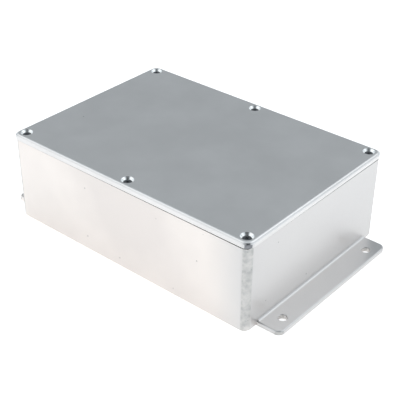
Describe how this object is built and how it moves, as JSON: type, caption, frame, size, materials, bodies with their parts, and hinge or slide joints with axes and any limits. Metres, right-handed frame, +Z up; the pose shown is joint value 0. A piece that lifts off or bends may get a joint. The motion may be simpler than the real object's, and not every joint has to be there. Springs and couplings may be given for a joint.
{
  "type": "die cast aluminium enclosure with mounting flanges",
  "caption": "Rectangular die cast aluminium box with a flat lid held by countersunk screws and a drilled mounting flange at each end of its foot.",
  "frame": {"origin": "centre of the overall outline, on the underside that the box stands on", "axes": "+X along the box through both mounting flanges, +Y across it towards the back, +Z up through the lid"},
  "size_m": [0.1992, 0.121, 0.055],
  "materials": {
    "cast_base": "die cast, tumbled, bare metal with fine pits",
    "cast_lid": "die cast, satin, bare metal",
    "screw_steel": "plated countersunk machine screw"
  },
  "bodies": {
    "root": {"base": "cast_base", "lid": "cast_lid", "lid_screw_front_left": "screw_steel", "lid_screw_front_middle": "screw_steel", "lid_screw_front_right": "screw_steel", "lid_screw_back_left": "screw_steel", "lid_screw_back_middle": "screw_steel", "lid_screw_back_right": "screw_steel"}
  },
  "joints": []
}
